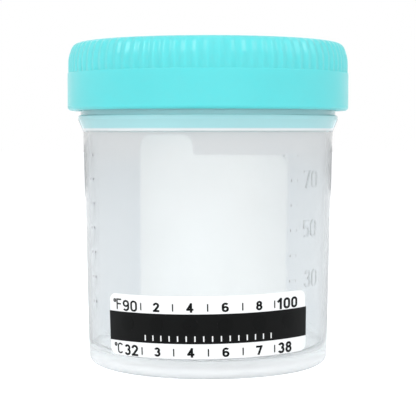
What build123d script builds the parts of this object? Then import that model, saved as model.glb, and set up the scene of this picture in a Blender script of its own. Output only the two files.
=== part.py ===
"""A 90 ml specimen container: a tapered polypropylene cup with a two-start neck thread,
a ribbed screw lid with its sealing disc, a temperature strip on the front of the wall
and a writing label on the back.

Millimetres, +Z up. The origin is the centre of the ring that the cup stands on, and -Y is the front.
"""

import os
from math import cos, pi, radians, sin, tan

from build123d import *

# Cup body: outer wall, foot and floor
base_radius = 25.6
wall_flare = 1.15
shoulder_height = 49.3
foot_corner = 1.6
foot_width = 1.9
foot_edge = 0.4
recess_depth = 2.0
recess_draft = 4.0
floor_thickness = 1.5
floor_corner = 1.8
wall_thickness = 1.15

# Shoulder ring and the collar between it and the lid
ring_overhang = 1.05
ring_rise = 2.5
ring_land = 0.9
ring_edge = 0.3
shoulder_crease = 0.4
collar_step = 0.3
collar_height = 1.5

# Neck and rim
neck_step = 0.25
neck_wall = 1.25
neck_height = 12.6
rim_edge = 0.4

# Thread, the same on the cup and in the lid
thread_starts = 2
thread_lead = 8.0
thread_root_width = 1.7
thread_crest_width = 0.9
thread_height = 0.95
thread_root_depth = 0.3
thread_play = 0.2
neck_crest_gap = 0.4
lid_crest_gap = 0.3
neck_thread_rise = 3.2
neck_thread_turns = 0.775
lid_thread_turns = 0.74

# Lid
lid_wall = 1.65
lid_gap = 1.0
lid_lower_edge = 0.8
lid_inner_corner = 0.3
lid_lead_in = 0.4
lid_plate = 1.5
lid_edge = 0.9
lid_shoulder_bend = 7.2
lid_shoulder_height = 4.4
lid_stack_depth = 0.4
lid_stack_gap = 0.5
grip_height = 6.4
grip_step = 0.43
grip_step_edge = 0.1
rib_count = 86
rib_height = 0.27
grip_levels = 6

# Sealing disc and the bead that keeps it in the lid
disc_thickness = 1.0
disc_face_gap = 0.1
disc_edge_gap = 0.35
disc_bead_overlap = 0.25
disc_bead_width = 0.5
disc_bead_play = 0.3
disc_edge_chamfer = 0.2

# Graduation marks on the outside of the wall, degrees from the front towards +X
right_scale_first = 30
left_scale_first = 20
mark_step = 10
mark_height = 0.15
mark_width = 0.5
mark_root_depth = 0.3
right_scale_end = 42.5
left_scale_end = -63.0
mark_arc = 3.5
mark_long_arc = 8.0

# Films stuck on the wall
film_thickness = 0.15
film_gap = 0.05
film_margin = 1.0
strip_half_span = 50.3
strip_width = 12.5
strip_middle = 10.6
strip_tilt = 1.0
strip_corner = 1.3
label_left_angle = 37.6
label_right_angle = 46.5
label_tab_angle = 8.0
label_foot = 9.0
label_shoulder_gap = 0.6
label_tab_height = 4.7
label_corner = 2.6
label_inner_corner = 1.0

# Values worked out from the sizes above
floor_height = recess_depth + floor_thickness
shoulder_radius = base_radius + wall_flare
ring_radius = shoulder_radius + ring_overhang
ring_height = shoulder_height + ring_rise + ring_land
neck_radius = shoulder_radius + neck_step
mouth_radius = neck_radius - neck_wall
collar_top = ring_height + collar_height
rim_height = ring_height + neck_height
neck_thread_foot = ring_height + neck_thread_rise
skirt_bore = neck_radius + thread_height + neck_crest_gap
lid_radius = skirt_bore + lid_wall
lid_foot = ring_height + lid_gap
lid_thread_foot = lid_foot + lid_lead_in + thread_root_width / 2 + thread_play
thread_offset = (thread_root_width + thread_crest_width) / 2 + thread_play
disc_foot = rim_height + disc_face_gap
disc_radius = skirt_bore - disc_edge_gap
lid_ceiling = disc_foot + disc_thickness + disc_face_gap
lid_top = lid_ceiling + lid_plate
grip_radius = lid_radius - grip_step
grip_foot = lid_top - grip_height
label_tab_top = shoulder_height - label_shoulder_gap
label_top = label_tab_top - label_tab_height

os.makedirs("parts", exist_ok=True)


def wall_radius(height):
    """Radius of the outside of the tapered wall at a height."""
    return base_radius + wall_flare * height / shoulder_height


def fill_height(millilitres):
    """Height of the liquid's surface when the cup, a tapered bore, holds this volume."""
    floor_radius = wall_radius(floor_height) - wall_thickness
    slope = (mouth_radius - floor_radius) / (rim_height - floor_height)
    cube = floor_radius**3 + 3 * slope * millilitres * 1000 / pi
    return floor_height + (cube ** (1 / 3) - floor_radius) / slope


def wall_film(inside, foot, top):
    """Ring of film that follows the wall's taper between two heights, on its radial plane."""
    return Polyline(
        (wall_radius(foot) + inside, foot),
        (wall_radius(foot) + inside + film_thickness, foot),
        (wall_radius(top) + inside + film_thickness, top),
        (wall_radius(top) + inside, top),
        close=True,
    )


def grip_inset(level):
    """How far the lid's shoulder has drawn in at a level, along a parabola with the shoulder's bend."""
    rise = max(0, level - lid_top + lid_shoulder_height)
    return rise**2 / (2 * lid_shoulder_bend)


def rib_outline(inset, height):
    """Closed wavy outline of the grip, one wave for each rib."""
    points = []
    for half_wave in range(2 * rib_count):
        radius = grip_radius - inset + height * (half_wave % 2)
        turn = pi * half_wave / rib_count
        points.append((radius * cos(turn), radius * sin(turn)))
    return Spline(*points, periodic=True)


def thread_outline(root, crest):
    """Trapezium of one thread on its radial plane, from the root depth to the crest."""
    half_root = thread_root_width / 2
    half_crest = thread_crest_width / 2
    return Polyline(
        (root, half_root),
        (0, half_root),
        (crest, half_crest),
        (crest, -half_crest),
        (0, -half_root),
        (root, -half_root),
        close=True,
    )


# One neck thread, standing outwards from the neck
with BuildPart() as neck_thread:
    with BuildLine() as neck_helix:
        Helix(
            pitch=thread_lead,
            height=thread_lead * neck_thread_turns,
            radius=neck_radius,
            center=(0, 0, neck_thread_foot),
        )
    with BuildSketch(Plane(neck_helix.line @ 0, x_dir=(1, 0, 0), z_dir=neck_helix.line % 0)):
        with BuildLine():
            thread_outline(-thread_root_depth, thread_height)
        make_face()
    sweep(path=neck_helix.line, is_frenet=True)

# One lid thread, standing inwards from the skirt. It runs below the neck thread by the thread offset.
with BuildPart() as lid_thread:
    with BuildLine() as lid_helix:
        Helix(
            pitch=thread_lead,
            height=thread_lead * lid_thread_turns,
            radius=skirt_bore,
            center=(0, 0, lid_thread_foot),
        )
    with BuildSketch(Plane(lid_helix.line @ 0, x_dir=(1, 0, 0), z_dir=lid_helix.line % 0)):
        with BuildLine():
            thread_outline(thread_root_depth, neck_radius + lid_crest_gap - skirt_bore)
        make_face()
    sweep(path=lid_helix.line, is_frenet=True)

# The cup, one moulding
with BuildPart() as cup:
    with BuildSketch(Plane.XZ):
        with BuildLine():
            foot_inside = base_radius - foot_corner - foot_width
            recess_inset = recess_depth * tan(radians(recess_draft))
            FilletPolyline(
                (0, recess_depth),
                (foot_inside - recess_inset, recess_depth),
                (foot_inside, 0),
                (base_radius, 0),
                (shoulder_radius, shoulder_height),
                (ring_radius, shoulder_height + ring_rise),
                (ring_radius, ring_height),
                (neck_radius + collar_step, ring_height),
                (neck_radius + collar_step, collar_top),
                (neck_radius, collar_top + collar_step),
                (neck_radius, rim_height),
                (mouth_radius, rim_height),
                (wall_radius(floor_height) - wall_thickness, floor_height),
                (0, floor_height),
                radius=[
                    0,
                    foot_edge,
                    foot_edge,
                    foot_corner,
                    shoulder_crease,
                    ring_edge,
                    ring_edge,
                    0,
                    0,
                    0,
                    rim_edge,
                    rim_edge,
                    floor_corner,
                    0,
                ],
                close=True,
            )
        make_face()
    revolve(axis=Axis.Z)
    with PolarLocations(0, thread_starts):
        add(neck_thread.part)
    for scale_end, volume in ((right_scale_end, right_scale_first), (left_scale_end, left_scale_first)):
        while fill_height(volume) < shoulder_height - mark_width:
            height = fill_height(volume)
            volume += mark_step
            last = fill_height(volume) > shoulder_height - mark_width
            arc = mark_long_arc if last else mark_arc
            middle = wall_radius(height) + (mark_height - mark_root_depth) / 2
            with BuildSketch(Plane.XZ.rotated((0, 0, scale_end - 90 - arc))):
                with Locations((middle, height)):
                    Rectangle(mark_height + mark_root_depth, mark_width)
            revolve(axis=Axis.Z, revolution_arc=arc)
cup.part.label = "cup"
export_step(cup.part, "parts/cup.step")

# The ribbed upper part of the lid, lofted through wavy outlines: straight up the grip band, in over
# the shoulder, and round the top edge, where the ribs die out
with BuildPart() as grip:
    for step in range(grip_levels + 1):
        level = grip_foot + (grip_height - lid_edge) * step / grip_levels
        with BuildSketch(Plane.XY.offset(level)):
            with BuildLine():
                rib_outline(grip_inset(level), rib_height)
            make_face()
    for turn in (30, 60, 90):
        level = lid_top - lid_edge + lid_edge * sin(radians(turn))
        round_off = lid_edge * (1 - cos(radians(turn)))
        with BuildSketch(Plane.XY.offset(level)):
            with BuildLine():
                rib_outline(grip_inset(level) + round_off, rib_height * cos(radians(turn)))
            make_face()
    loft()

# The lid, one moulding: the plain lower skirt with the ribbed part on it, then the hollow and the
# stacking recess, then the thread in the hollow
with BuildPart() as lid:
    with BuildSketch(Plane.XZ):
        with BuildLine():
            FilletPolyline(
                (0, grip_foot),
                (lid_radius, grip_foot),
                (lid_radius, lid_foot),
                (0, lid_foot),
                radius=[0, grip_step_edge, lid_lower_edge, 0],
                close=True,
            )
        make_face()
    revolve(axis=Axis.Z)
    add(grip.part)
    with BuildSketch(Plane.XZ):
        with BuildLine():
            bead_foot = disc_foot - disc_bead_play - disc_bead_width
            FilletPolyline(
                (0, lid_foot),
                (skirt_bore + lid_lead_in, lid_foot),
                (skirt_bore, lid_foot + lid_lead_in),
                (skirt_bore, bead_foot),
                (disc_radius - disc_bead_overlap, bead_foot + disc_bead_width / 2),
                (skirt_bore, bead_foot + disc_bead_width),
                (skirt_bore, lid_ceiling),
                (0, lid_ceiling),
                radius=[0, 0, 0, 0, 0, 0, lid_inner_corner, 0],
                close=True,
            )
        make_face()
        with BuildLine():
            stack_radius = base_radius + lid_stack_gap
            Polyline(
                (0, lid_top),
                (stack_radius, lid_top),
                (stack_radius - lid_stack_depth, lid_top - lid_stack_depth),
                (0, lid_top - lid_stack_depth),
                close=True,
            )
        make_face()
    revolve(axis=Axis.Z, mode=Mode.SUBTRACT)
    thread_lag = 360 * (lid_thread_foot - neck_thread_foot + thread_offset) / thread_lead
    with PolarLocations(0, thread_starts, start_angle=thread_lag):
        add(lid_thread.part)
lid.part.label = "lid"
export_step(lid.part, "parts/lid.step")

# The foamed disc that seals the rim
with BuildPart() as sealing_disc:
    with BuildSketch(Plane.XY.offset(disc_foot)):
        Circle(disc_radius)
    extrude(amount=disc_thickness)
    chamfer(sealing_disc.edges().filter_by(GeomType.CIRCLE), disc_edge_chamfer)
sealing_disc.part.label = "sealing_disc"
export_step(sealing_disc.part, "parts/sealing_disc.step")

# The temperature strip on the front of the wall
with BuildPart() as temperature_strip:
    with BuildSketch(Plane.XZ):
        with BuildLine():
            wall_film(film_gap, strip_middle - strip_width, strip_middle + strip_width)
        make_face()
    revolve(axis=Axis.Z)
    with BuildSketch(Plane.XZ):
        with Locations((0, strip_middle)):
            span = 2 * wall_radius(strip_middle) * sin(radians(strip_half_span))
            RectangleRounded(span, strip_width, strip_corner, rotation=strip_tilt)
    extrude(amount=ring_radius, mode=Mode.INTERSECT)
temperature_strip.part.label = "temperature_strip"
export_step(temperature_strip.part, "parts/temperature_strip.step")

# The writing label on the back of the wall, with a tab at its left end
with BuildPart() as rear_label:
    with BuildSketch(Plane.XZ):
        with BuildLine():
            wall_film(film_gap, label_foot - film_margin, label_tab_top + film_margin)
        make_face()
    revolve(axis=Axis.Z)
    with BuildSketch(Plane.XZ):
        with BuildLine():
            label_radius = wall_radius(label_top)
            left = -label_radius * sin(radians(label_left_angle))
            tab = -label_radius * sin(radians(label_tab_angle))
            right = label_radius * sin(radians(label_right_angle))
            FilletPolyline(
                (left, label_foot),
                (right, label_foot),
                (right, label_top),
                (tab, label_top),
                (tab, label_tab_top),
                (left, label_tab_top),
                radius=[
                    label_corner,
                    label_corner,
                    label_corner,
                    label_inner_corner,
                    label_corner,
                    label_corner,
                ],
                close=True,
            )
        make_face()
    extrude(amount=-ring_radius, mode=Mode.INTERSECT)
rear_label.part.label = "rear_label"
export_step(rear_label.part, "parts/rear_label.step")
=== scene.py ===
from math import cos, radians, sin

import bmesh
import bpy
from mathutils import Matrix, Vector


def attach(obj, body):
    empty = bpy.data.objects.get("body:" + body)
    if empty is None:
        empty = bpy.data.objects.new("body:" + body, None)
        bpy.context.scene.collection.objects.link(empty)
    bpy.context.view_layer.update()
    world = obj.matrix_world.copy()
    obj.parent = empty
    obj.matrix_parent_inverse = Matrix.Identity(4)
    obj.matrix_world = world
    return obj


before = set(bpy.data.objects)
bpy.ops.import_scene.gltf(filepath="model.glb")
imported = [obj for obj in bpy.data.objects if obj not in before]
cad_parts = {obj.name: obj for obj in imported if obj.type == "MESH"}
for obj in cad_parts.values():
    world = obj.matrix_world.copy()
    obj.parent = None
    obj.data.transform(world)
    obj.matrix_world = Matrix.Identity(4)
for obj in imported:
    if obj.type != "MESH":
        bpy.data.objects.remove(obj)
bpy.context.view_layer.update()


# The cup
# One injection moulding in natural polypropylene: a tapered wall on a foot ring, a shoulder ring
# and a threaded neck. It carries the lid on its thread and the two stuck-on films on its wall.
def linear(hex_colour):
    """Linear red, green, blue and alpha of an sRGB colour such as #7DE8EA."""
    channels = [int(hex_colour[i : i + 2], 16) / 255 for i in (1, 3, 5)]
    return [c / 12.92 if c <= 0.04045 else ((c + 0.055) / 1.055) ** 2.4 for c in channels] + [1.0]


def add_node(tree, kind, inputs=None, **settings):
    """A new node with its settings. An input that is a socket is linked, any other is a value."""
    node = tree.nodes.new(kind)
    for name, value in settings.items():
        setattr(node, name, value)
    for name, value in (inputs or {}).items():
        if isinstance(value, bpy.types.NodeSocket):
            tree.links.new(value, node.inputs[name])
        else:
            node.inputs[name].default_value = value
    return node


def new_material(name):
    """An empty node material and its tree."""
    material = bpy.data.materials.new(name)
    material.use_nodes = True
    material.node_tree.nodes.clear()
    return material, material.node_tree


def dress(piece, material):
    """Gives a piece one material all over."""
    piece.data.materials.clear()
    piece.data.materials.append(material)


shoulder_height = 0.0493
crease_from = shoulder_height - 0.0001
crease_to = shoulder_height + 0.0003
painted_lid_light_from = shoulder_height + 0.0005
painted_lid_light_to = shoulder_height + 0.0008
foot_clear_from = 0.0055
foot_milky_to = 0.001
thin_clarity = 0.95
thick_clarity = 0.3
flow_width = 0.0111

# Natural polypropylene, moulded in a polished mould: glossy, with light passing the thin wall in a
# slight blur, and milkier in the thick foot and shoulder ring. Aqua is painted on the ring and the
# neck as painted light, standing for the lid's colour glowing through them, and a painted highlight
# line runs along the crease below it. Faint flow lines, 11 mm wide and four times as tall, ripple
# the surface. Light passes it almost freely, so it throws hardly any shadow.
natural_pp, tree = new_material("natural_polypropylene_moulded")
place = add_node(tree, "ShaderNodeTexCoord").outputs["Object"]
height = add_node(tree, "ShaderNodeSeparateXYZ", {"Vector": place}).outputs["Z"]
# Painted light: aqua from the lid, painted on the ring and the neck above the crease.
painted_lid_light = add_node(
    tree,
    "ShaderNodeMapRange",
    {"Value": height, "From Min": painted_lid_light_from, "From Max": painted_lid_light_to},
    interpolation_type="SMOOTHSTEP",
).outputs["Result"]
# Milky from the crease up. The aqua starts just above it, so a milky, untinted band along the
# crease reads as a painted highlight line.
above = add_node(
    tree,
    "ShaderNodeMapRange",
    {"Value": height, "From Min": crease_from, "From Max": crease_to},
    interpolation_type="SMOOTHSTEP",
).outputs["Result"]
below = add_node(
    tree,
    "ShaderNodeMapRange",
    {"Value": height, "From Min": foot_clear_from, "From Max": foot_milky_to},
    interpolation_type="SMOOTHSTEP",
).outputs["Result"]
thick = add_node(tree, "ShaderNodeMath", {0: above, 1: below}, operation="MAXIMUM").outputs[0]
clear = add_node(
    tree, "ShaderNodeMapRange", {"Value": thick, "To Min": thin_clarity, "To Max": thick_clarity}
).outputs["Result"]
drawn_out = add_node(
    tree, "ShaderNodeMapping", {"Vector": place, "Scale": (1, 1, 0.25)}
).outputs["Vector"]
flow = add_node(
    tree, "ShaderNodeTexNoise", {"Vector": drawn_out, "Scale": 1 / flow_width, "Detail": 3.0}
).outputs["Fac"]
haze = add_node(
    tree,
    "ShaderNodeMix",
    {"Factor": flow, "A": linear("#FAFCFE"), "B": linear("#FEFFFF")},
    data_type="RGBA",
).outputs["Result"]
# Mixes the painted lid light, #BCEFF3, over the ring and the neck.
with_painted_lid_light = add_node(
    tree,
    "ShaderNodeMix",
    {"Factor": painted_lid_light, "A": haze, "B": linear("#BCEFF3")},
    data_type="RGBA",
).outputs["Result"]
ripple = add_node(tree, "ShaderNodeBump", {"Height": flow, "Strength": 0.08, "Distance": 0.0004})
plastic = add_node(
    tree,
    "ShaderNodeBsdfPrincipled",
    {
        "Base Color": with_painted_lid_light,
        "Roughness": 0.08,
        "IOR": 1.49,
        "Transmission Weight": clear,
        "Normal": ripple.outputs["Normal"],
    },
)
light_shade = add_node(tree, "ShaderNodeBsdfTransparent", {"Color": linear("#FCFEFE")})
ray = add_node(tree, "ShaderNodeLightPath")
wall = add_node(
    tree,
    "ShaderNodeMixShader",
    {"Fac": ray.outputs["Is Shadow Ray"], 1: plastic.outputs[0], 2: light_shade.outputs[0]},
)
add_node(tree, "ShaderNodeOutputMaterial", {"Surface": wall.outputs["Shader"]})
dress(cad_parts["cup"], natural_pp)


# The raised numbers of the scale
# Digits that stand 0.09 mm out of the wall beside the marks, moulded with the cup from its plastic.
# Each is drawn flat in strokes, thickened, and bent round the tapered wall that it is sunk into.
wall_foot_radius = 0.0256
wall_shoulder_radius = 0.02675


def wall_radius(height):
    """Outside radius of the tapered wall at a height."""
    return wall_foot_radius + (wall_shoulder_radius - wall_foot_radius) * height / shoulder_height


def wrap_round_cup(mesh, angle, lift, centre, tilt=0.0):
    """Bends a flat bmesh round the wall. Its x runs round the wall from the angle, its y is the
    height above the centre, and its z stands out from the wall, lift further."""
    facet = 0.0005
    xs = [v.co.x for v in mesh.verts]
    cuts = int((max(xs) - min(xs)) / facet)
    for i in range(1, cuts + 1):
        everything = mesh.verts[:] + mesh.edges[:] + mesh.faces[:]
        place = Vector((min(xs) + i * facet, 0, 0))
        bmesh.ops.bisect_plane(mesh, geom=everything, plane_co=place, plane_no=(1, 0, 0))
    mesh.transform(Matrix.Rotation(tilt, 4, "Z"))
    mid_radius = wall_radius(centre)
    for v in mesh.verts:
        turn = angle + v.co.x / mid_radius
        radius = wall_radius(centre + v.co.y) + lift + v.co.z
        v.co = Vector((radius * sin(turn), -radius * cos(turn), centre + v.co.y))


def thicken(mesh, thickness):
    """Makes flat faces in the xy plane into a closed slab that stands up by the thickness."""
    grown = bmesh.ops.extrude_face_region(mesh, geom=mesh.faces[:], use_keep_orig=True)
    raised = [v for v in grown["geom"] if isinstance(v, bmesh.types.BMVert)]
    bmesh.ops.translate(mesh, verts=raised, vec=(0, 0, thickness))
    bmesh.ops.recalc_face_normals(mesh, faces=mesh.faces[:])


# Centre lines of the characters in a box one high: where each stroke starts, its heading, and its
# moves. A move is a length with a turn of 0, or a radius with the degrees that it turns left.
strokes = {
    "0": [(0, 0.27, 90, [(0.46, 0), (0.27, -180), (0.46, 0), (0.27, -180)])],
    "1": [(0.24, 0, 90, [(1.0, 0)]), (0.24, 1.0, 222, [(0.34, 0)])],
    "2": [(0, 0.73, 90, [(0.27, -217), (0.66, 0)]), (0, 0, 0, [(0.54, 0)])],
    "3": [(0.03, 0.82, 72, [(0.24, -252)]), (0.26, 0.54, 0, [(0.27, -252)])],
    "4": [(0.4, 1.0, 241.5, [(0.83, 0)]), (0, 0.27, 0, [(0.56, 0)]), (0.41, 0, 90, [(1.0, 0)])],
    "5": [
        (0.5, 1.0, 180, [(0.4, 0)]),
        (0.1, 1.0, 266, [(0.46, 0)]),
        (0.05, 0.55, 40, [(0.31, -250)]),
    ],
    "6": [(0, 0.28, 90, [(0.28, -360)]), (0, 0.28, 90, [(0.43, 0), (0.29, -145)])],
    "7": [(0, 1.0, 0, [(0.54, 0)]), (0.54, 1.0, 251, [(1.05, 0)])],
    "8": [(0.04, 0.77, 90, [(0.23, -360)]), (0, 0.27, 90, [(0.27, -360)])],
    "9": [(0.56, 0.72, 270, [(0.28, -360)]), (0.56, 0.72, 270, [(0.43, 0), (0.29, -145)])],
    "F": [(0, 0, 90, [(1.0, 0)]), (0, 1.0, 0, [(0.5, 0)]), (0, 0.53, 0, [(0.44, 0)])],
    "C": [(0.55, 0.83, 118, [(0.29, 152), (0.42, 0), (0.29, 152)])],
    "°": [(0.0, 0.86, 90, [(0.13, -360)])],
}


def heading_vector(degrees):
    """Unit vector in the xy plane."""
    return Vector((cos(radians(degrees)), sin(radians(degrees)), 0))


def draw_stroke(mesh, pen, place, heading, moves):
    """Draws one flat stroke as wide as the pen. A single straight stroke gets square ends."""
    overrun = pen / 2 if len(moves) == 1 and moves[0][1] == 0 else 0.0
    place = place - heading_vector(heading) * overrun
    across = heading_vector(heading + 90) * pen / 2
    ends = [mesh.verts.new(place + across), mesh.verts.new(place - across)]
    tip = [mesh.edges.new(ends), *ends]
    for length, turn in moves:
        if turn:
            centre = place + heading_vector(heading + (90 if turn > 0 else -90)) * length
            push = Vector()
            place = centre + Matrix.Rotation(radians(turn), 3, "Z") @ (place - centre)
            steps = max(4, round(abs(turn) / 15))
        else:
            centre = place
            push = heading_vector(heading) * (length + 2 * overrun)
            place = place + push
            steps = 1
        turned = bmesh.ops.spin(
            mesh, geom=tip, cent=centre, axis=(0, 0, 1), dvec=push, angle=radians(turn), steps=steps
        )
        tip = turned["geom_last"]
        heading += turn


def writing(characters, size, pen, x, y, width=1.0, gap=0.0005):
    """A flat bmesh of characters, as tall as the size and centred on x and y."""
    mesh = bmesh.new()
    scale = size - pen
    left = 0.0
    for character in characters:
        letter = bmesh.new()
        for start_x, start_y, heading, moves in strokes[character]:
            place = Vector((start_x, start_y, 0)) * scale
            scaled = [(length * scale, turn) for length, turn in moves]
            draw_stroke(letter, pen, place, heading, scaled)
        letter.transform(Matrix.Translation((left, 0, 0)) @ Matrix.Scale(width, 4, (1, 0, 0)))
        left = max(v.co.x for v in letter.verts) + gap + pen / 2
        data = bpy.data.meshes.new("character")
        letter.to_mesh(data)
        mesh.from_mesh(data)
    bmesh.ops.remove_doubles(mesh, verts=mesh.verts[:], dist=1e-7)
    middle = (left - gap - pen) / 2
    mesh.transform(Matrix.Translation((x - middle, y - scale / 2, 0)))
    return mesh


scene = bpy.context.scene


def gather(name, meshes):
    """One object out of several bmeshes."""
    data = bpy.data.meshes.new(name)
    joined = bmesh.new()
    for mesh in meshes:
        mesh.to_mesh(data)
        joined.from_mesh(data)
    bmesh.ops.recalc_face_normals(joined, faces=joined.faces[:])
    joined.to_mesh(data)
    piece = bpy.data.objects.new(name, data)
    scene.collection.objects.link(piece)
    return piece


number_size = 0.0036
number_pen = 0.00036
number_thickness = 0.00014
number_sink = 0.00005
# Each number's height on the wall, and its degrees round from the front.
number_places = {"30": (0.0193, 54), "50": (0.02958, 52), "70": (0.0396, 52)}
numbers = []
for characters, (level, turn) in number_places.items():
    number = writing(characters, number_size, number_pen, 0, 0)
    thicken(number, number_thickness)
    wrap_round_cup(number, radians(turn), -number_sink, level)
    numbers.append(number)
scale_numbers = gather("scale_numbers", numbers)
dress(scale_numbers, natural_pp)
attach(scale_numbers, "cup")


# The lid
# One injection moulding in aqua polypropylene, coloured right through, with fine ribs on the grip
# and the shoulder. It screws on the neck and holds the sealing disc.
swirl_width = 0.0167
grain_width = 0.000556

# Aqua polypropylene, moulded in a satin mould: broad soft highlights, light that spreads a little
# way in, and a faint swirl over 17 mm. The mould's grain is finer than it is drawn, at 0.56 mm.
aqua_pp, tree = new_material("aqua_polypropylene_moulded")
place = add_node(tree, "ShaderNodeTexCoord").outputs["Object"]
swirl = add_node(
    tree, "ShaderNodeTexNoise", {"Vector": place, "Scale": 1 / swirl_width, "Detail": 2.0}
).outputs["Fac"]
colour = add_node(
    tree,
    "ShaderNodeMix",
    {"Factor": swirl, "A": linear("#5CD5D8"), "B": linear("#66DCDF")},
    data_type="RGBA",
).outputs["Result"]
grain = add_node(
    tree, "ShaderNodeTexNoise", {"Vector": place, "Scale": 1 / grain_width, "Detail": 2.0}
).outputs["Fac"]
ripple = add_node(tree, "ShaderNodeBump", {"Height": grain, "Strength": 0.05, "Distance": 0.0001})
plastic = add_node(
    tree,
    "ShaderNodeBsdfPrincipled",
    {
        "Base Color": colour,
        "Roughness": 0.28,
        "IOR": 1.49,
        "Subsurface Weight": 0.6,
        "Subsurface Radius": (0.3, 1.0, 1.0),
        "Subsurface Scale": 0.0012,
        "Normal": ripple.outputs["Normal"],
    },
)
add_node(tree, "ShaderNodeOutputMaterial", {"Surface": plastic.outputs["BSDF"]})
dress(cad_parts["lid"], aqua_pp)


# The sealing disc
# A liner of foamed polyethylene, punched from sheet. It snaps past the bead under the lid's top
# plate, and the cup's rim presses into it.
cell_size = 0.000455

# Polyethylene foam, cut from sheet: matte, with cells 0.45 mm across that show as fine pits.
foam, tree = new_material("polyethylene_foam_sheet")
place = add_node(tree, "ShaderNodeTexCoord").outputs["Object"]
cells = add_node(
    tree, "ShaderNodeTexVoronoi", {"Vector": place, "Scale": 1 / cell_size}
).outputs["Distance"]
pores = add_node(tree, "ShaderNodeBump", {"Height": cells, "Strength": 0.25, "Distance": 0.0002})
sheet = add_node(
    tree,
    "ShaderNodeBsdfPrincipled",
    {
        "Base Color": linear("#EFF1EF"),
        "Roughness": 0.7,
        "Subsurface Weight": 0.3,
        "Subsurface Scale": 0.001,
        "Normal": pores.outputs["Normal"],
    },
)
add_node(tree, "ShaderNodeOutputMaterial", {"Surface": sheet.outputs["BSDF"]})
dress(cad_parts["sealing_disc"], foam)


# The temperature strip
# White polyester film, stuck low on the front by its adhesive back. It is screen-printed with two
# rows of degrees, and between them a black band with six faint liquid-crystal windows.
strip_centre = 0.0106
strip_tilt = radians(1.0)
strip_face = 0.0002
ink_thickness = 0.00002
ink_gap = 0.00001
wave_width = 0.00714

# Polyester film, rolled smooth: a bright white with a satin face, in a faint wave over 7 mm.
film, tree = new_material("white_polyester_film")
place = add_node(tree, "ShaderNodeTexCoord").outputs["Object"]
wave = add_node(
    tree, "ShaderNodeTexNoise", {"Vector": place, "Scale": 1 / wave_width}
).outputs["Fac"]
ripple = add_node(tree, "ShaderNodeBump", {"Height": wave, "Strength": 0.05, "Distance": 0.0003})
sheet = add_node(
    tree,
    "ShaderNodeBsdfPrincipled",
    {"Base Color": linear("#FBFCFC"), "Roughness": 0.32, "Normal": ripple.outputs["Normal"]},
)
add_node(tree, "ShaderNodeOutputMaterial", {"Surface": sheet.outputs["BSDF"]})
dress(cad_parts["temperature_strip"], film)


def ink(name, hex_colour, roughness):
    """A screen-printed ink: a flat colour with little shine, uneven in its gloss over 2 mm."""
    patch_width = 0.002
    material, tree = new_material(name)
    place = add_node(tree, "ShaderNodeTexCoord").outputs["Object"]
    patches = add_node(
        tree, "ShaderNodeTexNoise", {"Vector": place, "Scale": 1 / patch_width}
    ).outputs["Fac"]
    gloss = add_node(
        tree,
        "ShaderNodeMapRange",
        {"Value": patches, "To Min": roughness - 0.05, "To Max": roughness + 0.05},
    )
    print_layer = add_node(
        tree,
        "ShaderNodeBsdfPrincipled",
        {
            "Base Color": linear(hex_colour),
            "Roughness": gloss.outputs["Result"],
            "Specular IOR Level": 0.15,
        },
    )
    add_node(tree, "ShaderNodeOutputMaterial", {"Surface": print_layer.outputs["BSDF"]})
    return material


def ink_bar(x, y, width, height):
    """A flat rectangle."""
    mesh = bmesh.new()
    bmesh.ops.create_grid(mesh, x_segments=1, y_segments=1, size=0.5)
    mesh.transform(Matrix.Translation((x, y, 0)) @ Matrix.Diagonal((width, height, 1, 1)))
    return mesh


def ink_disc(x, y, radius):
    """A flat disc."""
    mesh = bmesh.new()
    bmesh.ops.create_circle(mesh, cap_ends=True, segments=40, radius=radius)
    mesh.transform(Matrix.Translation((x, y, 0)))
    return mesh


def print_on_strip(name, shapes, material, layer):
    """Prints flat shapes on the strip. Layer 0 lies on the film, and layer 1 on layer 0."""
    lift = strip_face + ink_gap + layer * (ink_thickness + ink_gap)
    for mesh in shapes:
        thicken(mesh, ink_thickness)
        wrap_round_cup(mesh, 0.0, lift, strip_centre, strip_tilt)
    piece = gather(name, shapes)
    dress(piece, material)
    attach(piece, "cup")


black_ink = ink("black_screen_ink", "#070808", 0.35)
white_ink = ink("white_screen_ink", "#F4F5F5", 0.4)
crystal_ink = ink("liquid_crystal_window", "#030404", 0.3)
band_length = 0.0452
band_height = 0.00595
band_centre = -0.0003
print_on_strip("strip_band", [ink_bar(0, band_centre, band_length, band_height)], black_ink, 0)
window_pitch = 0.00695
window_centre = 0.0004
window_radius = 0.0016
windows = [ink_disc((i + 0.5) * window_pitch, window_centre, window_radius) for i in range(-3, 3)]
print_on_strip("strip_windows", windows, crystal_ink, 1)
upper_row = 0.00397
lower_row = -0.0050
digit_size = 0.00188
digit_pen = 0.0004
row_tick_width = 0.00026
row_tick_height = 0.0015
unit_size = 0.0022
unit_pen = 0.0003
unit_x = -0.0201
unit_rise = 0.0002
end_size = 0.00225

# Characters, height, pen, place along the strip, place up from its middle, width and gap.
rows_print = [
    writing("°F", unit_size, unit_pen, unit_x, upper_row + unit_rise, 1.1, 0.0001),
    writing("90", end_size, 0.00037, -0.01665, upper_row, 1.2, 0.00036),
    writing("100", end_size, 0.00045, 0.0172, upper_row, 1.2, 0.00035),
    writing("°C", unit_size, unit_pen, unit_x, lower_row + unit_rise, 1.1, 0.0001),
    writing("32", end_size, 0.00042, -0.0166, lower_row, 1.15, 0.0003),
    writing("38", end_size, 0.00045, 0.0165, lower_row, 1.15, 0.0003),
]
for row, digits in ((upper_row, "2468"), (lower_row, "3467")):
    for i, digit in enumerate(digits):
        place = (i - 1.5) * window_pitch
        rows_print.append(writing(digit, digit_size, digit_pen, place, row, 1.15))
    for i in range(-2, 3):
        rows_print.append(ink_bar(i * window_pitch, row, row_tick_width, row_tick_height))
print_on_strip("strip_numbers", rows_print, black_ink, 0)
mark_pitch = window_pitch / 4
mark_row = -0.00225
mark_width = 0.00025
mark_height = 0.0011
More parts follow.
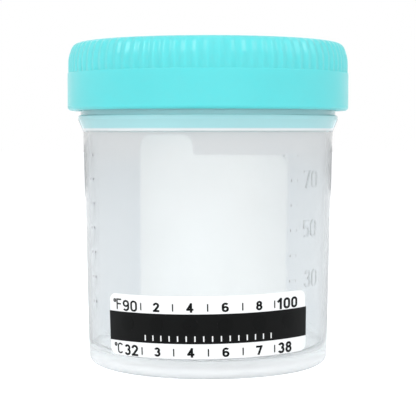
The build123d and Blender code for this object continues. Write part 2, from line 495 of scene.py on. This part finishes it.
band_marks = [
    ink_bar((i + 0.5) * mark_pitch, mark_row, mark_width, mark_height) for i in range(-8, 8)
]
print_on_strip("strip_band_marks", band_marks, white_ink, 1)


# The writing label
# Plain white writing paper with a tab at its top, stuck on the back of the wall by its adhesive
# back. It is seen through the cup.
fibre_width = 0.0004
cloud_width = 0.00833
see_through = 0.8

# Writing paper: matte white, faintly cloudy over 8 mm, and so thin that light from behind shows
# through. Its fibres are finer than they are drawn, at 0.4 mm.
paper, tree = new_material("white_label_paper")
place = add_node(tree, "ShaderNodeTexCoord").outputs["Object"]
fibre = add_node(
    tree, "ShaderNodeTexNoise", {"Vector": place, "Scale": 1 / fibre_width, "Detail": 4.0}
).outputs["Fac"]
cloud = add_node(
    tree, "ShaderNodeTexNoise", {"Vector": place, "Scale": 1 / cloud_width, "Detail": 3.0}
).outputs["Fac"]
white = add_node(
    tree,
    "ShaderNodeMix",
    {"Factor": cloud, "A": linear("#FAFAF9"), "B": linear("#FFFFFE")},
    data_type="RGBA",
).outputs["Result"]
tooth = add_node(tree, "ShaderNodeBump", {"Height": fibre, "Strength": 0.05, "Distance": 0.00005})
sheet = add_node(
    tree,
    "ShaderNodeBsdfPrincipled",
    {"Base Color": white, "Roughness": 0.65, "Normal": tooth.outputs["Normal"]},
)
glow_through = add_node(tree, "ShaderNodeBsdfTranslucent", {"Color": white})
thin = add_node(
    tree,
    "ShaderNodeMixShader",
    {"Fac": see_through, 1: sheet.outputs["BSDF"], 2: glow_through.outputs["BSDF"]},
)
add_node(tree, "ShaderNodeOutputMaterial", {"Surface": thin.outputs["Shader"]})
dress(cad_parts["rear_label"], paper)


# The floor, the light and the camera
# A matte white table that keeps the container's soft shadow, a white surround, and five soft boxes.
# The camera stands level with the shoulder and looks down a few degrees.
table_radius = 3.0
table_glow = 0.55
near_distance = 0.1
far_distance = 1.4
near_level = 0.84
far_level = 0.75
diffuse_level = 0.7
white_level = 1.0
table_top = bmesh.new()
bmesh.ops.create_circle(table_top, cap_ends=True, segments=64, radius=table_radius)
table = gather("table", [table_top])

# The table is matte and looks white to the camera. Through the cup's wall it looks a little darker,
# as the surround does, so that the clear wall stands out against them.
white_table, tree = new_material("white_table")
ray = add_node(tree, "ShaderNodeLightPath")
matte = add_node(tree, "ShaderNodeBsdfDiffuse", {"Color": linear("#E3E5E7")})
strength = add_node(
    tree,
    "ShaderNodeMapRange",
    {"Value": ray.outputs["Is Camera Ray"], "To Min": 0.0, "To Max": table_glow},
)
glow = add_node(tree, "ShaderNodeEmission", {"Strength": strength.outputs["Result"]})
lit_table = add_node(tree, "ShaderNodeAddShader", {0: matte.outputs[0], 1: glow.outputs[0]})
# Seen through the cup, the table's glow is painted light, brighter near the container and dimmer
# further off.
place = add_node(tree, "ShaderNodeTexCoord").outputs["Object"]
distance = add_node(tree, "ShaderNodeVectorMath", {0: place}, operation="LENGTH").outputs["Value"]
falloff = add_node(
    tree,
    "ShaderNodeMapRange",
    {
        "Value": distance,
        "From Min": near_distance,
        "From Max": far_distance,
        "To Min": near_level,
        "To Max": far_level,
    },
)
through_cup = add_node(
    tree, "ShaderNodeEmission", {"Color": linear("#F7FCFF"), "Strength": falloff.outputs["Result"]}
)
surface = add_node(
    tree,
    "ShaderNodeMixShader",
    {"Fac": ray.outputs["Is Transmission Ray"], 1: lit_table.outputs[0], 2: through_cup.outputs[0]},
)
add_node(tree, "ShaderNodeOutputMaterial", {"Surface": surface.outputs[0]})
dress(table, white_table)

world = bpy.data.worlds.new("surround")
scene.world = world
world.use_nodes = True
tree = world.node_tree
tree.nodes.clear()
ray = add_node(tree, "ShaderNodeLightPath")
direct = add_node(
    tree,
    "ShaderNodeMath",
    {0: ray.outputs["Is Camera Ray"], 1: ray.outputs["Is Glossy Ray"]},
    operation="MAXIMUM",
)
open_air = add_node(
    tree,
    "ShaderNodeMapRange",
    {"Value": direct.outputs[0], "To Min": diffuse_level, "To Max": white_level},
)
strength = add_node(
    tree,
    "ShaderNodeMapRange",
    {
        "Value": ray.outputs["Is Transmission Ray"],
        "To Min": open_air.outputs["Result"],
        "To Max": far_level,
    },
)
surround = add_node(
    tree,
    "ShaderNodeBackground",
    {"Color": linear("#FFFFFF"), "Strength": strength.outputs["Result"]},
)
add_node(tree, "ShaderNodeOutputWorld", {"Surface": surround.outputs[0]})

# Each soft box: degrees round from the front, degrees up, distance, size, and power in watts. The
# front and back ones only light the container: they don't show in its wall or its highlights.
container_middle = Vector((0, 0, 0.034))
soft_boxes = {
    "left_soft_box": (-46, 36, 0.7, (0.14, 0.3), 1.05),
    "right_soft_box": (61, 36, 0.7, (0.14, 0.3), 0.8),
    "front_soft_box": (0, 12, 0.9, (0.9, 0.25), 2.0),
    "top_soft_box": (5, 80, 0.8, (0.6, 0.6), 0.3),
    "back_soft_box": (180, 22, 0.7, (0.6, 0.3), 3.0),
}
for name, (round_degrees, up_degrees, distance, size, power) in soft_boxes.items():
    lamp_data = bpy.data.lights.new(name, "AREA")
    lamp_data.shape = "RECTANGLE"
    lamp_data.size, lamp_data.size_y = size
    lamp_data.energy = power
    lamp = bpy.data.objects.new(name, lamp_data)
    scene.collection.objects.link(lamp)
    azimuth, elevation = radians(round_degrees), radians(up_degrees)
    towards = Vector(
        (sin(azimuth) * cos(elevation), -cos(azimuth) * cos(elevation), sin(elevation))
    )
    lamp.location = container_middle + towards * distance
    lamp.rotation_euler = (-towards).to_track_quat("-Z", "Y").to_euler()
    lamp.visible_glossy = name not in ("front_soft_box", "back_soft_box")
    lamp.visible_transmission = lamp.visible_glossy

camera_data = bpy.data.cameras.new("camera")
camera_data.lens = 115.6
camera_data.sensor_width = 36.0
camera = bpy.data.objects.new("camera", camera_data)
scene.collection.objects.link(camera)
camera.location = (0, -0.288, 0.0492)
camera_aim = Vector((0, 0, 0.0328))
camera.rotation_euler = (camera_aim - camera.location).to_track_quat("-Z", "Y").to_euler()
scene.camera = camera
scene.view_settings.view_transform = "Standard"
